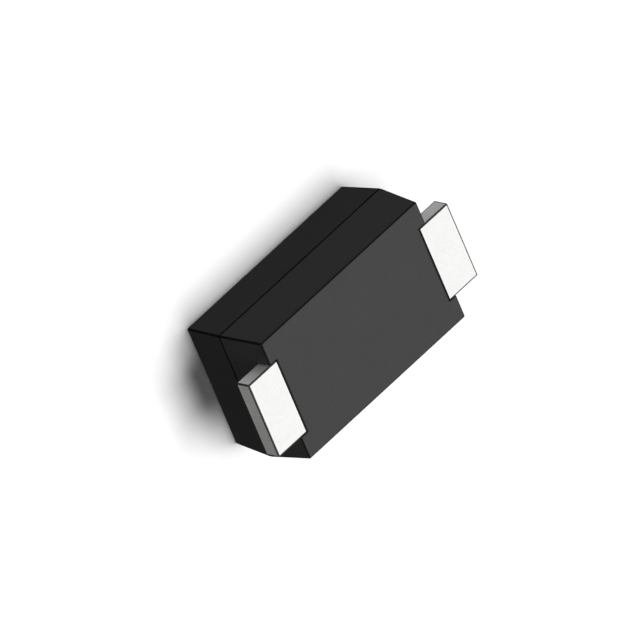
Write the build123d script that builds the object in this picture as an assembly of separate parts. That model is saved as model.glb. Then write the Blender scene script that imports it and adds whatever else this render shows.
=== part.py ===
from build123d import *
import os
from math import atan2, degrees, radians, tan

# Surface-mount TVS diode with two flat leads.
# Millimetres. +Z is up, away from the board. X runs along the part, with the
# cathode at -X and the anode at +X. The origin is the centre of the footprint,
# in the plane of the feet's soldered faces.

# Moulding
body_length = 4.30          # along X, at the parting line
body_width = 2.57           # along Y, at the parting line
lower_half_height = 0.925   # underside to parting line
upper_half_height = 0.885   # parting line to top
end_draft = 5.3             # degrees, on the two ends
side_draft = 4.0            # degrees, on the two long sides
corner_radius = 0.05        # on the corners between sides and ends
face_edge_radius = 0.035    # round the underside and round the top
cover_below = 0.50          # moulding under the chip's paddle

# Leads
lead_width = 1.52
lead_thickness = 0.31       # at the foot
foot_reach = 0.49           # how far a foot stands out past the parting line
foot_lap = 0.155            # how far a foot's bare face laps under the moulding
strip_thickness = 0.20      # coined thinner inside the moulding
strip_flat = 0.12           # level stretch between foot and ramp
bend_radius = 0.10          # inside each bend
ramp_angle = 55.0           # degrees
neck_width = 0.90
shoulder_length = 0.10      # where the foot's width tapers to the neck
paddle_margin = 0.10        # paddle past the chip, all round
paddle_corner_radius = 0.12
lock_hole_radius = 0.16     # the moulding runs through it and holds the lead
clip_tip_margin = 0.12      # clip past its dimple
clip_corner_radius = 0.20

# Chip and what joins it to the leads
chip_size = 1.30            # square
chip_thickness = 0.26
bevel_width = 0.12          # sloped junction edge, seen from above
bevel_depth = 0.08
solder_thickness = 0.04
solder_spread = 0.03        # how much wider a solder layer is at its wide end
dimple_radius = 0.34
dimple_depth = 0.06
dimple_wall = 0.05          # the dimple's hollow is this much smaller in radius

# Levels that follow from the stack, from the board upwards
body_height = lower_half_height + upper_half_height
paddle_bottom = cover_below
paddle_top = paddle_bottom + strip_thickness
chip_bottom = paddle_top + solder_thickness
chip_top = chip_bottom + chip_thickness
dimple_bottom = chip_top + solder_thickness
clip_bottom = dimple_bottom + dimple_depth

# Places along X that follow from the moulding
underside_half_length = body_length / 2 - lower_half_height * tan(radians(end_draft))
foot_inner = underside_half_length - foot_lap
foot_outer = body_length / 2 + foot_reach
ramp_start = foot_inner - strip_flat
strip_middle = lead_thickness - strip_thickness / 2


def drafted_half(height, up):
    """One half of the moulding: drafted sides and ends, rounded corners and face edge."""
    end_inset = height * tan(radians(end_draft))
    side_inset = height * tan(radians(side_draft))
    side_view = Polyline(
        (-body_length / 2, 0),
        (body_length / 2, 0),
        (body_length / 2 - end_inset, height),
        (-body_length / 2 + end_inset, height),
        close=True,
    )
    end_view = Polyline(
        (-body_width / 2, 0),
        (body_width / 2, 0),
        (body_width / 2 - side_inset, height),
        (-body_width / 2 + side_inset, height),
        close=True,
    )
    along_y = extrude(Plane.XZ * make_face(side_view), amount=body_width / 2, both=True)
    along_x = extrude(Plane.YZ * make_face(end_view), amount=body_length / 2, both=True)
    half = along_y & along_x
    flat_edges = half.edges().group_by(Axis.Z)
    corners = half.edges() - flat_edges[0] - flat_edges[-1]
    half = fillet(corners, radius=corner_radius)
    face_edges = half.faces().sort_by(Axis.Z)[-1].edges()
    half = fillet(face_edges, radius=face_edge_radius)
    if up:
        return Pos(0, 0, lower_half_height) * half
    return Pos(0, 0, lower_half_height) * mirror(half, about=Plane.XY)


def moulding_block():
    """The moulding's outer form, before the leads and the chip take their room in it."""
    return drafted_half(upper_half_height, up=True) + drafted_half(lower_half_height, up=False)


def formed_strip(level, tip):
    """The coined strip of a lead at +X: level, up a ramp, then level again to its tip."""
    rise = level - strip_middle
    ramp_end = ramp_start - rise / tan(radians(ramp_angle))
    centre_line = FilletPolyline(
        (foot_outer, 0, strip_middle),
        (ramp_start, 0, strip_middle),
        (ramp_end, 0, level),
        (tip, 0, level),
        radius=bend_radius + strip_thickness / 2,
    )
    strip_width = max(lead_width, chip_size + 2 * paddle_margin)
    section_plane = Plane(origin=centre_line @ 0, x_dir=(0, 1, 0), z_dir=centre_line % 0)
    section = section_plane * Rectangle(strip_width, strip_thickness)
    return sweep(section, path=centre_line)


def foot_and_neck_outline(tip):
    """The stamped outline of a lead at +X, seen from above: foot, shoulders and neck."""
    right_side = [
        (foot_outer, lead_width / 2),
        (foot_inner, lead_width / 2),
        (foot_inner - shoulder_length, neck_width / 2),
        (tip, neck_width / 2),
    ]
    left_side = [(x, -y) for x, y in reversed(right_side)]
    return make_face(Polyline(*right_side, *left_side, close=True))


def foot():
    """The foot of a lead at +X, at the full thickness of the sheet."""
    middle = (foot_inner + foot_outer) / 2
    size = Box(foot_outer - foot_inner, lead_width, lead_thickness)
    return Pos(middle, 0, lead_thickness / 2) * size


def cathode_lead():
    """Foot, neck with a lock hole, and the square paddle that the chip is soldered on."""
    level = paddle_bottom + strip_thickness / 2
    paddle_size = chip_size + 2 * paddle_margin
    tip = -paddle_size / 2
    ramp_end = ramp_start - (level - strip_middle) / tan(radians(ramp_angle))
    lock_hole_x = (ramp_end + paddle_size / 2) / 2
    outline = foot_and_neck_outline(0) + RectangleRounded(paddle_size, paddle_size, paddle_corner_radius)
    outline -= Pos(lock_hole_x, 0) * Circle(lock_hole_radius)
    strip = formed_strip(level, tip) & extrude(outline, amount=body_height)
    return Rot(0, 0, 180) * (strip + foot())


def anode_lead():
    """Foot, neck and the round-cornered clip, whose dimple comes down to the chip."""
    level = clip_bottom + strip_thickness / 2
    tip = -dimple_radius - clip_tip_margin
    outline = foot_and_neck_outline(tip)
    tip_corners = outline.vertices().group_by(Axis.X)[0]
    outline = fillet(tip_corners, radius=clip_corner_radius)
    strip = formed_strip(level, tip) & extrude(outline, amount=body_height)
    boss = Pos(0, 0, dimple_bottom) * Cylinder(
        dimple_radius, dimple_depth, align=(Align.CENTER, Align.CENTER, Align.MIN)
    )
    hollow = Pos(0, 0, clip_bottom + strip_thickness - dimple_depth) * Cylinder(
        dimple_radius - dimple_wall, dimple_depth, align=(Align.CENTER, Align.CENTER, Align.MIN)
    )
    return strip + foot() + boss - hollow


def chip_outline_block():
    """The chip before its edge is bevelled: the sawn square of silicon."""
    return Pos(0, 0, chip_bottom + chip_thickness / 2) * Box(chip_size, chip_size, chip_thickness)


def silicon_die():
    """The chip, with the sloped edge that lays its junction open all round."""
    block = chip_outline_block()
    top_face = block.faces().sort_by(Axis.Z)[-1]
    return chamfer(top_face.edges(), length=bevel_width, length2=bevel_depth, reference=top_face)


def passivation_glass():
    """The glass ring that fills the bevel, flush with the chip's top and sides."""
    return chip_outline_block() - silicon_die()


def cathode_solder():
    """The square solder layer under the chip, spread a little on the paddle."""
    spread = degrees(atan2(solder_spread, solder_thickness))
    base_size = chip_size + 2 * solder_spread
    base = Pos(0, 0, paddle_top) * Rectangle(base_size, base_size)
    return extrude(base, amount=solder_thickness, taper=spread)


def anode_solder():
    """The round solder button between the chip's top and the clip's dimple."""
    return Pos(0, 0, chip_top) * Cone(
        dimple_radius + solder_spread,
        dimple_radius,
        solder_thickness,
        align=(Align.CENTER, Align.CENTER, Align.MIN),
    )


# Everything the moulding is formed round, and then the moulding itself
nodes = {
    "cathode_lead": cathode_lead(),
    "anode_lead": anode_lead(),
    "silicon_die": silicon_die(),
    "passivation_glass": passivation_glass(),
    "cathode_solder": cathode_solder(),
    "anode_solder": anode_solder(),
}
moulded_body = moulding_block()
for inner_piece in nodes.values():
    moulded_body -= inner_piece
nodes["moulded_body"] = moulded_body

os.makedirs("parts", exist_ok=True)
for name, shape in nodes.items():
    export_step(shape, f"parts/{name}.step")
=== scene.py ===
import math

import bmesh
import bpy
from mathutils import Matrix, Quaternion, Vector


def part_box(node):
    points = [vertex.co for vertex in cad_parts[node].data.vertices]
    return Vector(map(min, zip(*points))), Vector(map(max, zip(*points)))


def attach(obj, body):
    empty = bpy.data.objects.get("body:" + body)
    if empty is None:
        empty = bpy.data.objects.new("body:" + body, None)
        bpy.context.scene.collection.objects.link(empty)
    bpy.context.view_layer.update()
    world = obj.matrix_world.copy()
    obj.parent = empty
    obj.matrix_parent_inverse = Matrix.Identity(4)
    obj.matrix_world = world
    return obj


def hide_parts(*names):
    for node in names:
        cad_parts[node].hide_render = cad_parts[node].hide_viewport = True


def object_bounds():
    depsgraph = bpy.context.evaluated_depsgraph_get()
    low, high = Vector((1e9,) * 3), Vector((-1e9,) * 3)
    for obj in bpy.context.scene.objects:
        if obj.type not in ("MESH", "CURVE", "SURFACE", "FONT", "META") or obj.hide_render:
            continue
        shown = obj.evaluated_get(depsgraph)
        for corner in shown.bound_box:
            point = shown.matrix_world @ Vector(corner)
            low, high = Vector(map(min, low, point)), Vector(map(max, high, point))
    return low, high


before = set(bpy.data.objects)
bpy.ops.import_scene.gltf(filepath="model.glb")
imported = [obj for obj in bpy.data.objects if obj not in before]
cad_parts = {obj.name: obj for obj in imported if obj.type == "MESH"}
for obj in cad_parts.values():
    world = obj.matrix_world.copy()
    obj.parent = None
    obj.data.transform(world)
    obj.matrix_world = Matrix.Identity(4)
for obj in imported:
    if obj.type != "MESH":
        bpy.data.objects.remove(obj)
cad_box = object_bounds()

# Leads
# Two strips of copper alloy, stamped, coined thinner inside the moulding and bent up a ramp, then
# electroplated with matte tin. One carries the chip on a paddle, the other reaches over it as a clip.
# The moulding was formed round them and holds them. Only their flat feet show, with painted shade on
# their edges.

MM = 0.001
same_place = 0.002 * MM             # points nearer than this count as one place
merging_distance = 0.0002 * MM
level_facets = math.radians(1.0)    # facets that meet at less than this are one face
foot_low, foot_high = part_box("anode_lead")
foot_inner = 1.909 * MM             # where a foot's bare face ends under the moulding
foot_thickness = 0.31 * MM
stamped_edge = 0.010 * MM           # rounding along the edges of a foot
stamped_edge_facets = 3
round_profile = 0.5                 # a quarter circle, as the bevel counts it
edge_shade_reach = 0.026 * MM             # how far from an edge the painted shade reaches
tin_colour = (0.99, 0.99, 0.975, 1.0)
tin_shadow_colour = (0.84, 0.84, 0.83, 1.0)
edge_shade_colour = (0.05, 0.05, 0.048, 1.0)    # painted shade along the foot's edges, as dark as the picture's outlines
one_face_near = 1.5                 # an edge is where more than one face of the foot is near
# darker than the tin: the cut end's streaked look, and painted shade for the end face
sheared_shaded_colour = (0.72, 0.72, 0.71, 1.0)
sheared_streak_colour = (0.94, 0.94, 0.92, 1.0)
tin_metallic = 0.65
tin_roughness = (0.44, 0.56)
tin_grain = 0.022 * MM
tin_mottle = 0.45 * MM
tin_relief = 0.0016 * MM
crystals_per_mm = 30.0
rolling_marks_per_mm = (1.5, 42.0, 42.0)
rolling_mark_detail = 2.0
rolling_mark_relief = 0.6           # as a share of the grain's
shear_streaks_per_mm = (20.0, 45.0, 3.0)
shear_streak_detail = 3.0
crystal_share = 0.35                # how far crystals, mottle and rolling marks lighten the tin
mottle_share = 0.45
rolling_share = 0.35
gap_shade_colour = (0.006, 0.006, 0.006, 1.0)       # painted shade in the gap round the foot, as dark as the picture's outlines
gap_shade_over = 0.007 * MM              # painted shade on the bare face, from its inner edge
gap_shade_under = 0.030 * MM             # and on the tin where it goes in under the moulding
grain_detail = 3.0
mottle_detail = 2.0
grain_sharpness = 0.6               # how much the finer layers of the noise show


def socket(tree, name, kind, into):
    """Adds a named input or output to a node group."""
    direction = "INPUT" if into else "OUTPUT"
    tree.interface.new_socket(name=name, in_out=direction, socket_type=kind)


def feed(tree, target, value):
    """Links an output socket to an input socket, or sets a plain value on it."""
    if isinstance(value, bpy.types.NodeSocket):
        tree.links.new(value, target)
    else:
        target.default_value = value


def node(tree, kind, settings=None, **values):
    """Adds a node. Values set its inputs by name, with spaces written as underscores."""
    made = tree.nodes.new(kind)
    for key, value in (settings or {}).items():
        setattr(made, key, value)
    for key, value in values.items():
        feed(tree, made.inputs[key.replace("_", " ")], value)
    return made


def math_node(tree, operation, first, second=0.0, clamp=False):
    """A Math node's result."""
    made = tree.nodes.new("ShaderNodeMath")
    made.operation = operation
    made.use_clamp = clamp
    feed(tree, made.inputs[0], first)
    feed(tree, made.inputs[1], second)
    return made.outputs[0]


def mix_colour(tree, factor, first, second):
    """A colour between two colours."""
    made = tree.nodes.new("ShaderNodeMix")
    made.data_type = "RGBA"
    feed(tree, made.inputs["Factor"], factor)
    feed(tree, made.inputs["A"], first)
    feed(tree, made.inputs["B"], second)
    return made.outputs["Result"]


def between(tree, value, low, high):
    """Maps a value from 0..1 to low..high."""
    made = node(tree, "ShaderNodeMapRange", Value=value, To_Min=low, To_Max=high)
    return made.outputs["Result"]


def object_place(tree):
    """The place of a surface point on its own piece."""
    return node(tree, "ShaderNodeTexCoord").outputs["Object"]


def streaks(tree, place, per_mm, detail):
    """Noise drawn out along the axes that have few changes to a millimetre."""
    per_metre = [count / MM for count in per_mm]
    drawn_out = node(tree, "ShaderNodeMapping", Vector=place, Scale=per_metre).outputs[0]
    return node(tree, "ShaderNodeTexNoise", Vector=drawn_out, Scale=1.0, Detail=detail).outputs["Fac"]


def relief(tree, height, depth):
    """The normal of a surface with a fine relief of the given depth."""
    return node(tree, "ShaderNodeBump", Height=height, Distance=depth).outputs["Normal"]


def grain_group():
    """A fine grain and a slow unevenness, shared by every finish on the part."""
    tree = bpy.data.node_groups.new("surface_grain", "ShaderNodeTree")
    socket(tree, "Grain Size", "NodeSocketFloat", True)
    socket(tree, "Mottle Size", "NodeSocketFloat", True)
    socket(tree, "Grain", "NodeSocketFloat", False)
    socket(tree, "Mottle", "NodeSocketFloat", False)
    given = tree.nodes.new("NodeGroupInput")
    result = tree.nodes.new("NodeGroupOutput")
    place = object_place(tree)
    for name, detail in (("Grain", grain_detail), ("Mottle", mottle_detail)):
        per_metre = math_node(tree, "DIVIDE", 1.0, given.outputs[name + " Size"])
        noise = node(
            tree, "ShaderNodeTexNoise",
            Vector=place, Scale=per_metre, Detail=detail, Roughness=grain_sharpness,
        )
        feed(tree, result.inputs[name], noise.outputs["Fac"])
    return tree


surface_grain = grain_group()


def place_grain(tree, grain_size, mottle_size):
    """The shared grain, placed in a material with its own sizes."""
    made = tree.nodes.new("ShaderNodeGroup")
    made.node_tree = surface_grain
    made.inputs["Grain Size"].default_value = grain_size
    made.inputs["Mottle Size"].default_value = mottle_size
    return made.outputs["Grain"], made.outputs["Mottle"]


def finish_material(name, **constants):
    """A new material with its Principled shader, whose plain values are set on its own sockets."""
    material = bpy.data.materials.new(name)
    material.use_nodes = True
    tree = material.node_tree
    shader = tree.nodes["Principled BSDF"]
    for key, value in constants.items():
        shader.inputs[key.replace("_", " ")].default_value = value
    return material, tree, shader


def matte_tin():
    """Matte electroplated tin: pale grey, with fine crystals and faint rolling marks along the strip.
    Each end was cut after plating, which smeared it with streaks, and its darker tone there is painted
    shade for the end face. The foot's edges carry a near-black line of painted shade, and a dark line of
    painted shade lies on it in the gap where it goes in under the moulding."""
    material, tree, shader = finish_material("matte_tin", Metallic=tin_metallic)
    grain, mottle = place_grain(tree, tin_grain, tin_mottle)
    place = object_place(tree)
    rolling = streaks(tree, place, rolling_marks_per_mm, rolling_mark_detail)
    crystals = node(tree, "ShaderNodeTexVoronoi", Vector=place, Scale=crystals_per_mm / MM)
    shade = math_node(tree, "MULTIPLY", crystals.outputs["Color"], crystal_share)
    shade = math_node(tree, "ADD", shade, math_node(tree, "MULTIPLY", mottle, mottle_share))
    shade = math_node(tree, "ADD", shade, math_node(tree, "MULTIPLY", rolling, rolling_share))
    plated = mix_colour(tree, shade, tin_shadow_colour, tin_colour)
    # The cut end: streaks, and a tone darker than the tin that is painted shade for the end face.
    smeared = streaks(tree, place, shear_streaks_per_mm, shear_streak_detail)
    sheared_and_shaded = mix_colour(tree, smeared, sheared_shaded_colour, sheared_streak_colour)
    axes = node(tree, "ShaderNodeSeparateXYZ", Vector=place).outputs
    along = math_node(tree, "ABSOLUTE", axes["X"])
    at_end = math_node(tree, "GREATER_THAN", along, foot_high.x - same_place)
    base = mix_colour(tree, at_end, plated, sheared_and_shaded)
    from_underside = math_node(tree, "ABSOLUTE", axes["Z"])
    from_top = math_node(tree, "ABSOLUTE", math_node(tree, "SUBTRACT", axes["Z"], foot_thickness))
    from_faces = (
        math_node(tree, "SUBTRACT", foot_high.x, along),
        math_node(tree, "SUBTRACT", foot_high.y, math_node(tree, "ABSOLUTE", axes["Y"])),
        math_node(tree, "MINIMUM", from_underside, from_top),
    )
    # Near-black painted shade along the foot's edges, where two faces meet.
    faces_near = 0.0
    for from_face in from_faces:
        near = math_node(tree, "LESS_THAN", from_face, edge_shade_reach)
        faces_near = math_node(tree, "ADD", near, faces_near)
    edge_shaded = math_node(tree, "GREATER_THAN", faces_near, one_face_near)
    base = mix_colour(tree, edge_shaded, base, edge_shade_colour)
    # Painted shade on the tin in the gap where it goes in under the moulding.
    gap_shade_begins = math_node(tree, "GREATER_THAN", along, foot_inner - gap_shade_under)
    gap_shade_ends = math_node(tree, "LESS_THAN", along, foot_inner + gap_shade_over)
    gap_shaded = math_node(tree, "MULTIPLY", gap_shade_begins, gap_shade_ends)
    base = mix_colour(tree, gap_shaded, base, gap_shade_colour)
    feed(tree, shader.inputs["Base Color"], base)
    feed(tree, shader.inputs["Roughness"], between(tree, mottle, *tin_roughness))
    height = math_node(tree, "ADD", grain, math_node(tree, "MULTIPLY", rolling, rolling_mark_relief))
    feed(tree, shader.inputs["Normal"], relief(tree, height, tin_relief))
    return material


tin = matte_tin()


def on_foot_rim(edge):
    """Whether an edge of a lead is one that shows round its foot, where stamping leaves a rounding."""
    ends = [vertex.co for vertex in edge.verts]
    outside = all(abs(end.x) > foot_inner - same_place for end in ends)
    inner = all(abs(end.x) < foot_inner + same_place for end in ends)
    low = all(abs(end.z) < same_place for end in ends)
    at_end = all(abs(end.x) > foot_high.x - same_place for end in ends)
    along_top = all(abs(end.z - foot_thickness) < same_place for end in ends)
    at_side = abs(ends[0].y - ends[1].y) < same_place
    return outside and not inner and (low or at_end or (along_top and at_side))


def plated_lead(cad_name, piece_name):
    """The lead's own form with the rounding that stamping and plating leave round its foot."""
    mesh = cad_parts[cad_name].data.copy()
    shape = bmesh.new()
    shape.from_mesh(mesh)
    bmesh.ops.remove_doubles(shape, verts=shape.verts, dist=merging_distance)
    bmesh.ops.dissolve_limit(shape, angle_limit=level_facets, verts=shape.verts, edges=shape.edges)
    rounded = bmesh.ops.bevel(
        shape,
        geom=[edge for edge in shape.edges if on_foot_rim(edge)],
        offset=stamped_edge,
        segments=stamped_edge_facets,
        profile=round_profile,
        affect="EDGES",
        clamp_overlap=True,
    )
    for face in rounded["faces"]:
        face.smooth = True
    shape.to_mesh(mesh)
    shape.free()
    mesh.materials.clear()
    mesh.materials.append(tin)
    piece = bpy.data.objects.new(piece_name, mesh)
    bpy.context.scene.collection.objects.link(piece)
    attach(piece, "root")
    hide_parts(cad_name)


plated_lead("cathode_lead", "cathode_lead_plated")
plated_lead("anode_lead", "anode_lead_plated")

# Chip and its glass
# A square of silicon about a quarter of a millimetre thick, sawn from a wafer. Its bevelled edge lays
# the junction open, and a ring of glass fused over the bevel seals it. It is soldered between the leads.

silicon_colour = (0.20, 0.21, 0.24, 1.0)
silicon_bright_colour = (0.30, 0.31, 0.34, 1.0)
silicon_metallic = 0.8
silicon_roughness = (0.25, 0.45)
silicon_scratch = 0.012 * MM
silicon_mottle = 0.5 * MM
glass_colour = (0.55, 0.62, 0.58, 1.0)
glass_milky_colour = (0.72, 0.76, 0.72, 1.0)
glass_roughness = 0.12
glass_ripple = 0.05 * MM
glass_mottle = 0.2 * MM
glass_relief = 0.001 * MM


def lapped_silicon():
    """Lapped silicon: dull grey with a fine even scratch grain."""
    material, tree, shader = finish_material("lapped_silicon", Metallic=silicon_metallic)
    grain, mottle = place_grain(tree, silicon_scratch, silicon_mottle)
    base = mix_colour(tree, mottle, silicon_colour, silicon_bright_colour)
    feed(tree, shader.inputs["Base Color"], base)
    feed(tree, shader.inputs["Roughness"], between(tree, grain, *silicon_roughness))
    return material


def fused_glass():
    """Fused lead glass: milky, smooth, a little uneven."""
    material, tree, shader = finish_material("fused_glass", Roughness=glass_roughness)
    grain, mottle = place_grain(tree, glass_ripple, glass_mottle)
    feed(tree, shader.inputs["Base Color"], mix_colour(tree, mottle, glass_colour, glass_milky_colour))
    feed(tree, shader.inputs["Normal"], relief(tree, grain, glass_relief))
    return material


def dress(cad_name, material):
    """Gives a CAD node its finish."""
    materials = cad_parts[cad_name].data.materials
    materials.clear()
    materials.append(material)


dress("silicon_die", lapped_silicon())
dress("passivation_glass", fused_glass())

# Solder
# A square layer under the chip and a round button above it, of high-lead solder reflowed in hydrogen.
# They hold the chip to the paddle and to the clip's dimple.

solder_colour = (0.52, 0.52, 0.53, 1.0)
solder_bright_colour = (0.66, 0.66, 0.66, 1.0)
solder_metallic = 1.0
solder_roughness = (0.28, 0.42)
solder_ripple = 0.04 * MM
solder_mottle = 0.25 * MM
solder_relief = 0.002 * MM


def reflowed_solder():
    """Reflowed solder: satin grey with a soft ripple."""
    material, tree, shader = finish_material("reflowed_solder", Metallic=solder_metallic)
    grain, mottle = place_grain(tree, solder_ripple, solder_mottle)
    base = mix_colour(tree, mottle, solder_colour, solder_bright_colour)
    feed(tree, shader.inputs["Base Color"], base)
    feed(tree, shader.inputs["Roughness"], between(tree, grain, *solder_roughness))
    feed(tree, shader.inputs["Normal"], relief(tree, grain, solder_relief))
    return material


solder = reflowed_solder()
dress("cathode_solder", solder)
dress("anode_solder", solder)

# Moulding
# One block of black filled epoxy, transfer-moulded round the leads and the chip. The mould has draft, so
# the walls lean in from the parting line, and its spark-eroded faces left the matte grain. The parting
# line, the roundings of the edges and a strip along each foot's inner edge carry near-black painted
# shade. A laser marked the cathode's band on the top.

parting_height = 0.925 * MM
end_draft = math.radians(5.3)
side_draft = math.radians(4.0)
corner_radius = 0.03 * MM
corner_facets = 5
face_edge_radius = 0.022 * MM
face_edge_facets = 4
face_margin = 1.5 * face_edge_radius    # flat margin round a face, inside its rounding
parting_line_width = 0.038 * MM
parting_line_floor = 0.030 * MM         # width at the bottom of the line
parting_line_depth = 0.016 * MM
feet = 2
pocket_clearance = 0.018 * MM           # fine gap between a foot and the moulding
pocket_past_end = 0.5 * MM              # how far a pocket runs on past its foot, clear of the moulding
shade_strip_width = 0.026 * MM                # painted shade on the underside along a foot's inner edge
steepest_wall = math.radians(6)         # a facet that leans further is in a rounding
sharp_edge = math.radians(28)           # facets that meet at more than this keep a crisp edge
largest_rounding_facet = 0.06 * MM * MM    # a larger facet is flat
held_inside = (
    "cathode_lead", "anode_lead", "silicon_die", "passivation_glass", "cathode_solder", "anode_solder",
)
epoxy_colour = (0.039, 0.039, 0.040, 1.0)
epoxy_pale_colour = (0.047, 0.047, 0.048, 1.0)
epoxy_specular = 0.19
epoxy_roughness = (0.42, 0.52)
epoxy_grain = 0.030 * MM
epoxy_mottle = 0.9 * MM
epoxy_relief = 0.0035 * MM
filler_colour = (0.085, 0.085, 0.083, 1.0)
filler_per_mm = 26.0
filler_reach = 0.16                     # of the distance between grains of filler
filler_strength = 0.5
painted_shade_colour = (0.006, 0.006, 0.006, 1.0)      # painted shade for the parting line, the edges and the strip by the feet, as dark as the picture's outlines
painted_shade_pale_colour = (0.012, 0.012, 0.012, 1.0)
resin_specular = 0.04
resin_roughness = (0.6, 0.8)
resin_grain = 0.020 * MM
resin_mottle = 0.3 * MM
band_colour = (0.33, 0.33, 0.32, 1.0)
band_near = -1.74 * MM                  # the cathode band's edge at the cathode end
band_far = -1.20 * MM
band_scans_per_mm = 9.0                 # as the Wave texture counts them
band_scan_unevenness = 0.6
band_strength = (0.74, 0.92)            # between the laser's scan lines and on them
band_grain = (0.8, 1.15)


def epoxy():
    """Black epoxy: matte grain, scattered filler, the laser-marked band on the top, and a strip of
    near-black painted shade on the underside along each foot's inner edge, beside the gap."""
    material, tree, shader = finish_material("black_epoxy", Specular_IOR_Level=epoxy_specular)
    grain, mottle = place_grain(tree, epoxy_grain, epoxy_mottle)
    place = object_place(tree)
    base = mix_colour(tree, mottle, epoxy_colour, epoxy_pale_colour)
    filler = node(tree, "ShaderNodeTexVoronoi", Vector=place, Scale=filler_per_mm / MM)
    speck = math_node(tree, "LESS_THAN", filler.outputs["Distance"], filler_reach)
    base = mix_colour(tree, math_node(tree, "MULTIPLY", speck, filler_strength), base, filler_colour)

    axes = node(tree, "ShaderNodeSeparateXYZ", Vector=place).outputs
    past_near = math_node(tree, "GREATER_THAN", axes["X"], band_near)
    before_far = math_node(tree, "LESS_THAN", axes["X"], band_far)
    on_top = math_node(tree, "GREATER_THAN", axes["Z"], cad_box[1].z - same_place)
    band = math_node(tree, "MULTIPLY", math_node(tree, "MULTIPLY", past_near, before_far), on_top)
    scan = node(
        tree, "ShaderNodeTexWave", {"bands_direction": "X"},
        Vector=place, Scale=band_scans_per_mm / MM, Distortion=band_scan_unevenness,
    )
    marked = math_node(tree, "MULTIPLY", band, between(tree, scan.outputs["Fac"], *band_strength))
    marked = math_node(tree, "MULTIPLY", marked, between(tree, grain, *band_grain), clamp=True)
    base = mix_colour(tree, marked, base, band_colour)

    # Painted shade: a near-black strip on the underside along each foot's inner edge, beside the gap.
    along = math_node(tree, "ABSOLUTE", axes["X"])
    across = math_node(tree, "ABSOLUTE", axes["Y"])
    past_start = math_node(tree, "GREATER_THAN", along, foot_inner - pocket_clearance - shade_strip_width)
    before_foot = math_node(tree, "LESS_THAN", along, foot_inner)
    beside_foot = math_node(tree, "LESS_THAN", across, foot_high.y + pocket_clearance)
    underneath = math_node(tree, "LESS_THAN", axes["Z"], foot_thickness)
    shade_strip = math_node(tree, "MULTIPLY", past_start, before_foot)
    shade_strip = math_node(tree, "MULTIPLY", shade_strip, beside_foot)
    shade_strip = math_node(tree, "MULTIPLY", shade_strip, underneath)
    base = mix_colour(tree, shade_strip, base, painted_shade_colour)

    feed(tree, shader.inputs["Base Color"], base)
    feed(tree, shader.inputs["Roughness"], between(tree, mottle, *epoxy_roughness))
    feed(tree, shader.inputs["Normal"], relief(tree, grain, epoxy_relief))
    return material


def resin_painted_shade():
    """A dull near-black skin: painted shade on the parting line and the roundings of the edges."""
    material, tree, shader = finish_material("resin_painted_shade", Specular_IOR_Level=resin_specular)
    grain, mottle = place_grain(tree, resin_grain, resin_mottle)
    feed(tree, shader.inputs["Base Color"], mix_colour(tree, grain, painted_shade_colour, painted_shade_pale_colour))
    feed(tree, shader.inputs["Roughness"], between(tree, mottle, *resin_roughness))
    return material


def filleted(tree, curve, radius, facets):
    """A curve with its corners rounded in short straight facets."""
    short_facets = {"mode": "POLY"}
    made = node(tree, "GeometryNodeFilletCurve", short_facets, Curve=curve, Radius=radius, Count=facets)
    return made.outputs[0]


def captured(tree, geometry):
    """Geometry that keeps where its points are now, and those places for later use."""
    made = tree.nodes.new("GeometryNodeCaptureAttribute")
    made.capture_items.new("VECTOR", "Place")
    feed(tree, made.inputs["Geometry"], geometry)
    feed(tree, made.inputs["Place"], node(tree, "GeometryNodeInputPosition").outputs[0])
    places = node(tree, "ShaderNodeSeparateXYZ", Vector=made.outputs["Place"]).outputs
    return made.outputs["Geometry"], places


def is_number(tree, index, number):
    """Whether a point's index is the given number."""
    made = node(tree, "FunctionNodeCompare", {"data_type": "INT", "operation": "EQUAL"})
    feed(tree, made.inputs[2], index)
    feed(tree, made.inputs[3], number)
    return made.outputs[0]


def wall_curve(tree, given):
    """The wall's section from the underside to the top: how far in from the outline at each height."""
    half_line = math_node(tree, "MULTIPLY", given["Line Width"], 0.5)
    half_floor = math_node(tree, "MULTIPLY", given["Line Floor"], 0.5)
    points = (
        (given["Face Margin"], 0.0),
        (0.0, 0.0),
        (0.0, math_node(tree, "SUBTRACT", given["Parting Height"], half_line)),
        (given["Line Depth"], math_node(tree, "SUBTRACT", given["Parting Height"], half_floor)),
        (given["Line Depth"], math_node(tree, "ADD", given["Parting Height"], half_floor)),
        (0.0, math_node(tree, "ADD", given["Parting Height"], half_line)),
        (0.0, given["Height"]),
        (given["Face Margin"], given["Height"]),
    )
    index = node(tree, "GeometryNodeInputIndex").outputs[0]
    choice = tree.nodes.new("GeometryNodeIndexSwitch")
    choice.data_type = "VECTOR"
    while len(choice.index_switch_items) < len(points):
        choice.index_switch_items.new()
    feed(tree, choice.inputs["Index"], index)
    for number, (inset, height) in enumerate(points):
        point = node(tree, "ShaderNodeCombineXYZ", X=inset, Z=height)
        feed(tree, choice.inputs[str(number)], point.outputs[0])
    line = node(tree, "GeometryNodeMeshLine", Count=len(points))
    wall = node(tree, "GeometryNodeMeshToCurve", Mesh=line.outputs[0])
    wall = node(tree, "GeometryNodeSetPosition", Geometry=wall.outputs[0], Position=choice.outputs[0])
    at_underside = is_number(tree, index, 1)
    at_top = is_number(tree, index, len(points) - 2)
    at_face = math_node(tree, "ADD", at_underside, at_top)
    rounding = math_node(tree, "MULTIPLY", at_face, given["Face Edge Radius"])
    return filleted(tree, wall.outputs[0], rounding, face_edge_facets)


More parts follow.
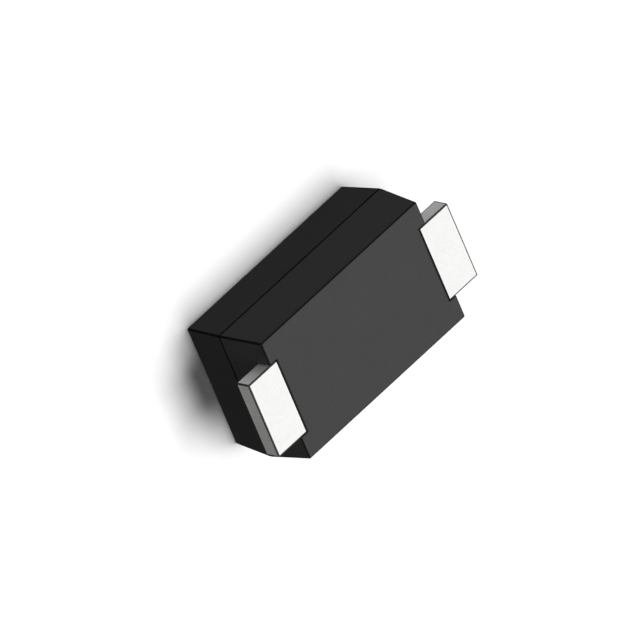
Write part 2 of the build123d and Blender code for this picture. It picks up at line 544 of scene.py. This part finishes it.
def drafted_block(tree, given):
    """A rounded outline carried up the wall, which leans in both ways from the parting line."""
    outline = tree.nodes.new("GeometryNodeCurvePrimitiveQuadrilateral")
    feed(tree, outline.inputs["Width"], given["Length"])
    feed(tree, outline.inputs["Height"], given["Width"])
    outline = filleted(tree, outline.outputs[0], given["Corner Radius"], corner_facets)
    outline, on_outline = captured(tree, outline)
    wall, on_wall = captured(tree, wall_curve(tree, given))
    block = node(tree, "GeometryNodeCurveToMesh", Curve=wall, Profile_Curve=outline, Fill_Caps=True)
    from_line = math_node(tree, "SUBTRACT", on_wall["Z"], given["Parting Height"])
    from_line = math_node(tree, "ABSOLUTE", from_line)
    moved = {}
    for axis, draft in (("X", given["End Draft"]), ("Y", given["Side Draft"])):
        lean = math_node(tree, "MULTIPLY", from_line, math_node(tree, "TANGENT", draft))
        inset = math_node(tree, "ADD", lean, on_wall["X"])
        side = math_node(tree, "SIGN", on_outline[axis])
        away = math_node(tree, "ABSOLUTE", on_outline[axis])
        moved[axis] = math_node(tree, "MULTIPLY", side, math_node(tree, "SUBTRACT", away, inset))
    place = node(tree, "ShaderNodeCombineXYZ", X=moved["X"], Y=moved["Y"], Z=on_wall["Z"])
    block = node(tree, "GeometryNodeSetPosition", Geometry=block.outputs[0], Position=place.outputs[0])
    return block.outputs[0]


def foot_pockets(tree, given):
    """The room of the feet, a hair wider than they are, which leaves a fine gap round each."""
    length, width, height = given["Pocket Length"], given["Pocket Width"], given["Pocket Height"]
    size = node(tree, "ShaderNodeCombineXYZ", X=length, Y=width, Z=height).outputs[0]
    pocket = node(tree, "GeometryNodeMeshCube", Size=size).outputs[0]
    middle = math_node(tree, "ADD", given["Pocket Inner"], math_node(tree, "MULTIPLY", length, 0.5))
    first = node(tree, "ShaderNodeCombineXYZ", X=math_node(tree, "MULTIPLY", middle, -1.0)).outputs[0]
    step = node(tree, "ShaderNodeCombineXYZ", X=math_node(tree, "MULTIPLY", middle, 2.0)).outputs[0]
    ends = node(tree, "GeometryNodeMeshLine", Count=feet, Start_Location=first, Offset=step).outputs[0]
    pockets = node(tree, "GeometryNodeInstanceOnPoints", Points=ends, Instance=pocket).outputs[0]
    return node(tree, "GeometryNodeRealizeInstances", Geometry=pockets).outputs[0]


def moulding_tree():
    """The rule of the moulding: a drafted block, less the feet's pockets and all that it holds."""
    tree = bpy.data.node_groups.new("drafted_moulding", "GeometryNodeTree")
    sizes = (
        "Length", "Width", "Height", "Parting Height", "End Draft", "Side Draft", "Corner Radius",
        "Face Edge Radius", "Face Margin", "Line Width", "Line Floor", "Line Depth", "Pocket Inner",
        "Pocket Length", "Pocket Width", "Pocket Height",
    )
    for name in sizes:
        socket(tree, name, "NodeSocketFloat", True)
    socket(tree, "Material", "NodeSocketMaterial", True)
    socket(tree, "Geometry", "NodeSocketGeometry", False)
    given = tree.nodes.new("NodeGroupInput").outputs
    result = tree.nodes.new("NodeGroupOutput")
    cut = node(tree, "GeometryNodeMeshBoolean", {"operation": "DIFFERENCE", "solver": "EXACT"})
    feed(tree, cut.inputs["Mesh 1"], drafted_block(tree, given))
    feed(tree, cut.inputs["Mesh 2"], foot_pockets(tree, given))
    for name in held_inside:
        held = node(tree, "GeometryNodeObjectInfo", Object=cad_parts[name]).outputs["Geometry"]
        held = node(tree, "GeometryNodeMergeByDistance", Geometry=held, Distance=merging_distance)
        feed(tree, cut.inputs["Mesh 2"], held.outputs[0])
    whole = node(tree, "GeometryNodeRealizeInstances", Geometry=cut.outputs[0]).outputs[0]
    coated = node(tree, "GeometryNodeSetMaterial", Geometry=whole, Material=given["Material"])
    feed(tree, result.inputs["Geometry"], coated.outputs[0])
    return tree


def baked(piece_name, tree, values):
    """Runs a Geometry Nodes tree with the given sizes and returns a plain mesh object."""
    holder = bpy.data.objects.new(piece_name, bpy.data.meshes.new(piece_name))
    bpy.context.scene.collection.objects.link(holder)
    modifier = holder.modifiers.new("rule", "NODES")
    modifier.node_group = tree
    for item in tree.interface.items_tree:
        if item.in_out == "INPUT" and item.name in values:
            modifier[item.identifier] = values[item.name]
    depsgraph = bpy.context.evaluated_depsgraph_get()
    mesh = bpy.data.meshes.new_from_object(holder.evaluated_get(depsgraph))
    holder.modifiers.clear()
    holder.data = mesh
    mesh.name = piece_name
    return holder


body_low, body_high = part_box("moulded_body")
black_epoxy = epoxy()
moulding = baked(
    "moulding",
    moulding_tree(),
    {
        "Length": body_high.x - body_low.x,
        "Width": body_high.y - body_low.y,
        "Height": body_high.z,
        "Parting Height": parting_height,
        "End Draft": end_draft,
        "Side Draft": side_draft,
        "Corner Radius": corner_radius,
        "Face Edge Radius": face_edge_radius,
        "Face Margin": face_margin,
        "Line Width": parting_line_width,
        "Line Floor": parting_line_floor,
        "Line Depth": parting_line_depth,
        "Pocket Inner": foot_inner - pocket_clearance,
        "Pocket Length": foot_high.x - foot_inner + pocket_past_end,
        "Pocket Width": foot_high.y - foot_low.y + 2 * pocket_clearance,
        "Pocket Height": 2 * (foot_thickness + pocket_clearance),
        "Material": black_epoxy,
    },
)


def is_bare_resin(face):
    """Whether a face of the moulding lies in the parting line or in the rounding of an edge, which take
    the near-black painted shade."""
    from_line = abs(face.center.z - parting_height)
    past_end = abs(face.center.x) + from_line * math.tan(end_draft) - body_high.x
    past_side = abs(face.center.y) + from_line * math.tan(side_draft) - body_high.y
    at_wall = max(past_end, past_side) > -face_margin
    rounded = max(abs(part) for part in face.normal) < math.cos(steepest_wall)
    return at_wall and (rounded or from_line < parting_line_width / 2)


carried_normals = moulding.data.attributes.get("custom_normal")
if carried_normals:
    moulding.data.attributes.remove(carried_normals)
moulding.data.set_sharp_from_angle(angle=sharp_edge)
moulding.data.materials.clear()
# The parting line and the roundings of the edges take the near-black painted shade.
for material in (black_epoxy, resin_painted_shade()):
    moulding.data.materials.append(material)
for face in moulding.data.polygons:
    face.use_smooth = face.area < largest_rounding_facet
    face.material_index = int(is_bare_resin(face))
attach(moulding, "root")
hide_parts("moulded_body")

# Camera
# The picture looks up at the underside from beyond the cathode end, with parallel lines and the part
# turned on its corner. Places in the picture are pixels of a 640-pixel square.

picture_side = 640
pixels_per_mm = 59.05
body_in_picture = (325.5, 322.5)    # where the middle of the parting plane falls
view_azimuth = -45.25
view_elevation = -45.12
view_roll = -78.17
camera_distance = 40 * MM
nearest_seen = 1 * MM
farthest_seen = 1000 * MM


def picture_camera():
    """A parallel camera that frames the part as the picture does."""
    azimuth = math.radians(view_azimuth)
    elevation = math.radians(view_elevation)
    back = Vector((
        math.sin(azimuth) * math.cos(elevation),
        -math.cos(azimuth) * math.cos(elevation),
        math.sin(elevation),
    ))
    turn = (-back).to_track_quat("-Z", "Y") @ Quaternion((0, 0, 1), math.radians(view_roll))
    right = turn @ Vector((1, 0, 0))
    up = turn @ Vector((0, 1, 0))
    across = (body_in_picture[0] - picture_side / 2) / pixels_per_mm * MM
    down = (body_in_picture[1] - picture_side / 2) / pixels_per_mm * MM
    target = Vector((0, 0, parting_height)) - across * right + down * up
    data = bpy.data.cameras.new("picture_camera")
    data.type = "ORTHO"
    data.ortho_scale = picture_side / pixels_per_mm * MM
    data.clip_start = nearest_seen
    data.clip_end = farthest_seen
    camera = bpy.data.objects.new("picture_camera", data)
    camera.location = target + back * camera_distance
    camera.rotation_mode = "QUATERNION"
    camera.rotation_quaternion = turn
    bpy.context.scene.collection.objects.link(camera)
    bpy.context.scene.camera = camera


picture_camera()

# Stage
# A white floor that the feet stand on, seen from above, and a white sheet behind the part's top, seen
# from below. Each shows from one side only and takes nothing from the light that falls on the part.

stage_side = 1200 * MM
stage_colour = (0.97, 0.97, 0.97, 1.0)
stage_glow = 0.025                  # lifts the lit sheets the rest of the way to white
stage_gap = 0.004 * MM              # how far they lie clear of the part


def one_sided_white():
    """White that only a camera in front of the sheet sees, with the part's shadow on it."""
    material = bpy.data.materials.new("stage_white")
    material.use_nodes = True
    tree = material.node_tree
    tree.nodes.clear()
    seen_by_camera = node(tree, "ShaderNodeLightPath").outputs["Is Camera Ray"]
    front = math_node(tree, "SUBTRACT", 1.0, node(tree, "ShaderNodeNewGeometry").outputs["Backfacing"])
    seen = math_node(tree, "MULTIPLY", seen_by_camera, front)
    paint = node(tree, "ShaderNodeBsdfDiffuse", Color=stage_colour)
    glow = node(tree, "ShaderNodeEmission", Strength=stage_glow)
    both = node(tree, "ShaderNodeAddShader")
    feed(tree, both.inputs[0], paint.outputs[0])
    feed(tree, both.inputs[1], glow.outputs[0])
    clear = node(tree, "ShaderNodeBsdfTransparent")
    mixed = node(tree, "ShaderNodeMixShader", Fac=seen)
    feed(tree, mixed.inputs[1], clear.outputs[0])
    feed(tree, mixed.inputs[2], both.outputs[0])
    node(tree, "ShaderNodeOutputMaterial", Surface=mixed.outputs[0])
    return material


def sheet(name, height, faces_up, material):
    """One square sheet of the stage."""
    half = stage_side / 2
    square = [(-half, -half), (half, -half), (half, half), (-half, half)]
    corners = [(x, y, height) for x, y in square]
    order = [0, 1, 2, 3] if faces_up else [3, 2, 1, 0]
    mesh = bpy.data.meshes.new(name)
    mesh.from_pydata(corners, [], [order])
    mesh.materials.append(material)
    made = bpy.data.objects.new(name, mesh)
    bpy.context.scene.collection.objects.link(made)


stage_white = one_sided_white()
sheet("floor", -stage_gap, True, stage_white)
sheet("backdrop", cad_box[1].z + stage_gap, False, stage_white)

# Light
# Two large soft lamps a little to the anode side, one below for the picture's view and one above, with
# a weak fill from the side, in a grey room that mirrors as pale below the horizon and just above it.

room_level = 0.06
room_in_gloss = (                   # height of a direction, and how bright the room shows there
    (0.18, 1.00),
    (0.50, 0.12),
    (0.90, 0.05),
    (1.00, 0.20),
)


def lamp(name, toward, level, spread, mirrored):
    """A soft far lamp. A white face turned to it shows at the given level; spread is in degrees."""
    data = bpy.data.lights.new(name, "SUN")
    data.energy = level * math.pi
    data.angle = math.radians(spread)
    made = bpy.data.objects.new(name, data)
    made.rotation_mode = "QUATERNION"
    made.rotation_quaternion = Vector(toward).to_track_quat("Z", "Y")
    made.visible_glossy = mirrored
    bpy.context.scene.collection.objects.link(made)


lamp("key_below", toward=(0.07, 0.085, -1.0), level=1.0, spread=36, mirrored=False)
lamp("key_above", toward=(0.40, 0.36, 1.0), level=1.1, spread=30, mirrored=False)
lamp("fill_side", toward=(0.4, -0.85, 0.3), level=0.08, spread=50, mirrored=True)


def room():
    """White to the camera, and a grey room to the part."""
    world = bpy.data.worlds.new("room")
    bpy.context.scene.world = world
    world.use_nodes = True
    tree = world.node_tree
    background = tree.nodes["Background"]
    background.inputs["Color"].default_value = (1.0, 1.0, 1.0, 1.0)
    rays = node(tree, "ShaderNodeLightPath").outputs
    clear_or_gloss = math_node(tree, "MAXIMUM", rays["Is Glossy Ray"], rays["Is Transmission Ray"])
    direction = node(tree, "ShaderNodeTexCoord").outputs["Generated"]
    height = node(tree, "ShaderNodeSeparateXYZ", Vector=direction).outputs["Z"]
    ramp = node(tree, "ShaderNodeValToRGB", Fac=height)
    steps = ramp.color_ramp.elements
    while len(steps) < len(room_in_gloss):
        steps.new(1.0)
    for step, (at_height, level) in zip(steps, room_in_gloss):
        step.position = at_height
        step.color = (level, level, level, 1.0)
    above_room = math_node(tree, "SUBTRACT", ramp.outputs["Color"], room_level)
    reflected = math_node(tree, "MULTIPLY", clear_or_gloss, above_room)
    level = math_node(tree, "ADD", reflected, room_level)
    seen = math_node(tree, "MAXIMUM", level, rays["Is Camera Ray"])
    feed(tree, background.inputs["Strength"], seen)


room()
bpy.context.scene.view_settings.view_transform = "Standard"
